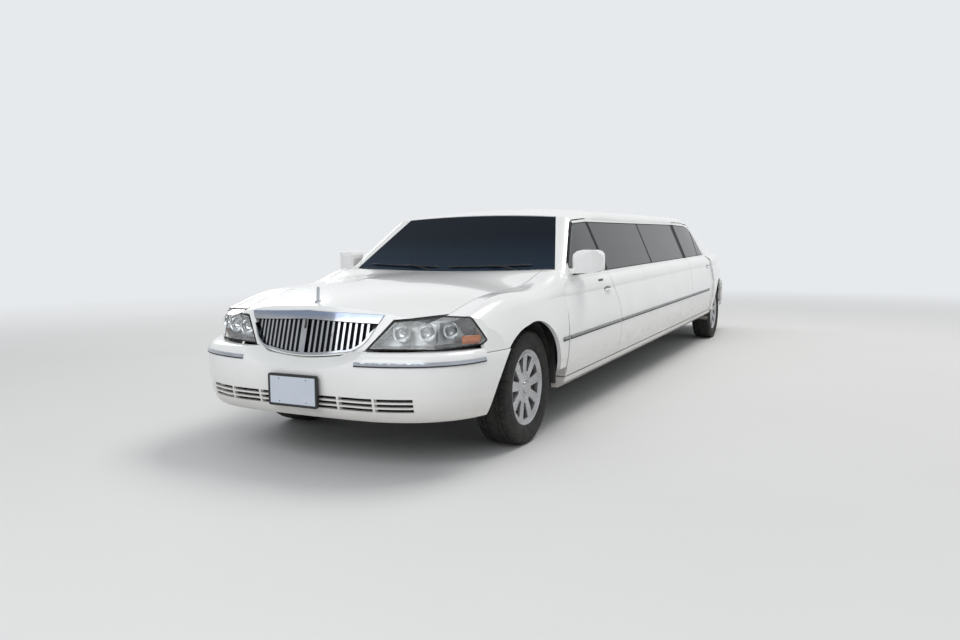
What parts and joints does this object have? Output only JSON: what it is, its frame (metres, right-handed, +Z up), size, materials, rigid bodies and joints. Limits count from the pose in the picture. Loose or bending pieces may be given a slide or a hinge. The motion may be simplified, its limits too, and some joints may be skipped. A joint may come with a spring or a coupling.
{
  "type": "stretch limousine",
  "caption": "Long stretched saloon car with opening doors, hood and trunk lid, coupled steered front wheels, rolling wheels and a hollow furnished cabin.",
  "frame": {"origin": "on the road under the middle of the whole vehicle", "axes": "+X forward along the vehicle, +Y to its left, +Z up from the road"},
  "size_m": [8.5656, 2.1794, 1.5413],
  "materials": {
    "body_paint": "gloss",
    "floor_sheet": "satin",
    "liner": "matt",
    "chrome": "polished",
    "clear_lens": "clear",
    "lamp_tub": "bright",
    "black_plastic": "satin",
    "clear_glass": "lightly tinted",
    "dark_glass": "dark tinted",
    "red_lens": "clear red",
    "cast": "cast",
    "steel": "dull",
    "frame_steel": "satin",
    "alloy": "satin",
    "dark_trim": "soft",
    "leather": "soft",
    "wood": "varnished",
    "tyre": "rubber"
  },
  "bodies": {
    "body": {"fender_left": "body_paint", "fender_right": "body_paint", "front_bumper": "body_paint", "side_panel_left": "body_paint", "side_panel_right": "body_paint", "roof_panel": "body_paint", "rear_bumper": "body_paint", "quarter_left": "body_paint", "quarter_right": "body_paint", "rocker_left": "body_paint", "rocker_right": "body_paint", "rear_deck": "body_paint", "body_floor": "floor_sheet", "inner_fenders": "liner", "wheel_houses": "liner", "bumper_strips": "chrome", "headlamp_lenses": "clear_lens", "headlamp_tubs": "lamp_tub", "plate_holder": "black_plastic", "cowl": "black_plastic", "windscreen": "clear_glass", "fixed_windows": "dark_glass", "tail_lamps": "red_lens", "front_suspension": "cast", "rear_axle": "cast", "chassis_frame": "frame_steel", "engine": "cast", "driveshaft": "steel", "radiator": "alloy", "exhaust": "steel", "fuel_tank": "black_plastic", "dashboard": "dark_trim", "steering_wheel": "dark_trim", "front_seats": "leather", "partition": "dark_trim", "lounge_seats": "leather", "bar_console": "wood"},
    "hood": {"hood_panel": "body_paint", "grille": "chrome", "hood_ornament": "chrome"},
    "trunk": {"trunk_lid": "body_paint"},
    "left_front_door": {"door_front_left": "body_paint", "glass_front_left": "clear_glass"},
    "right_front_door": {"door_front_right": "body_paint", "glass_front_right": "clear_glass"},
    "left_rear_door": {"door_rear_left": "body_paint", "glass_rear_left": "dark_glass"},
    "right_rear_door": {"door_rear_right": "body_paint", "glass_rear_right": "dark_glass"},
    "left_knuckle": {"knuckle_left": "cast"},
    "right_knuckle": {"knuckle_right": "cast"},
    "steering_rod": {"tie_rod": "steel"},
    "left_front_wheel": {"tyre_front_left": "tyre", "rim_front_left": "alloy"},
    "right_front_wheel": {"tyre_front_right": "tyre", "rim_front_right": "alloy"},
    "left_rear_wheel": {"tyre_rear_left": "tyre", "rim_rear_left": "alloy"},
    "right_rear_wheel": {"tyre_rear_right": "tyre", "rim_rear_right": "alloy"}
  },
  "joints": [
    {"name": "left_steering", "type": "hinge", "parent": "body", "child": "left_knuckle", "pos_m": [3.19967, 0.715, 0.345], "axis": [0, 0, 1], "range_deg": [-33, 33]},
    {"name": "right_steering", "type": "hinge", "parent": "body", "child": "right_knuckle", "pos_m": [3.19967, -0.715, 0.345], "axis": [0, 0, 1], "range_deg": [-33, 33]},
    {"name": "steering_rod_slide", "type": "slide", "parent": "body", "child": "steering_rod", "axis": [0, 1, 0], "range_m": [-0.09, 0.09]},
    {"name": "left_front_wheel_spin", "type": "hinge", "parent": "left_knuckle", "child": "left_front_wheel", "pos_m": [3.19967, 0.796, 0.345], "axis": [0, 1, 0], "continuous": true},
    {"name": "right_front_wheel_spin", "type": "hinge", "parent": "right_knuckle", "child": "right_front_wheel", "pos_m": [3.19967, -0.796, 0.345], "axis": [0, 1, 0], "continuous": true},
    {"name": "left_rear_wheel_spin", "type": "hinge", "parent": "body", "child": "left_rear_wheel", "pos_m": [-2.83833, 0.815, 0.345], "axis": [0, 1, 0], "continuous": true},
    {"name": "right_rear_wheel_spin", "type": "hinge", "parent": "body", "child": "right_rear_wheel", "pos_m": [-2.83833, -0.815, 0.345], "axis": [0, 1, 0], "continuous": true},
    {"name": "hood_hinge", "type": "hinge", "parent": "body", "child": "hood", "pos_m": [2.54181, 0, 0.99811], "axis": [0, -1, 0], "range_deg": [0, 50]},
    {"name": "trunk_hinge", "type": "hinge", "parent": "body", "child": "trunk", "pos_m": [-3.11735, 0, 1.10126], "axis": [0, 1, 0], "range_deg": [0, 70]},
    {"name": "left_front_door_hinge", "type": "hinge", "parent": "body", "child": "left_front_door", "pos_m": [2.71026, 0.988, 0.70603], "axis": [-0.0122, 0, -0.9999], "range_deg": [0, 65]},
    {"name": "right_front_door_hinge", "type": "hinge", "parent": "body", "child": "right_front_door", "pos_m": [2.71026, -0.988, 0.70603], "axis": [0.0122, 0, 0.9999], "range_deg": [0, 65]},
    {"name": "left_rear_door_hinge", "type": "hinge", "parent": "body", "child": "left_rear_door", "pos_m": [-1.19445, 0.988, 0.75374], "axis": [-0.0122, 0, -0.9999], "range_deg": [0, 65]},
    {"name": "right_rear_door_hinge", "type": "hinge", "parent": "body", "child": "right_rear_door", "pos_m": [-1.19445, -0.988, 0.75374], "axis": [0.0122, 0, 0.9999], "range_deg": [0, 65]}
  ],
  "couplings": [
    {"joint": "right_steering", "follows": "left_steering", "ratio": 1},
    {"joint": "steering_rod_slide", "follows": "left_steering", "m_per_rad": -0.15}
  ]
}
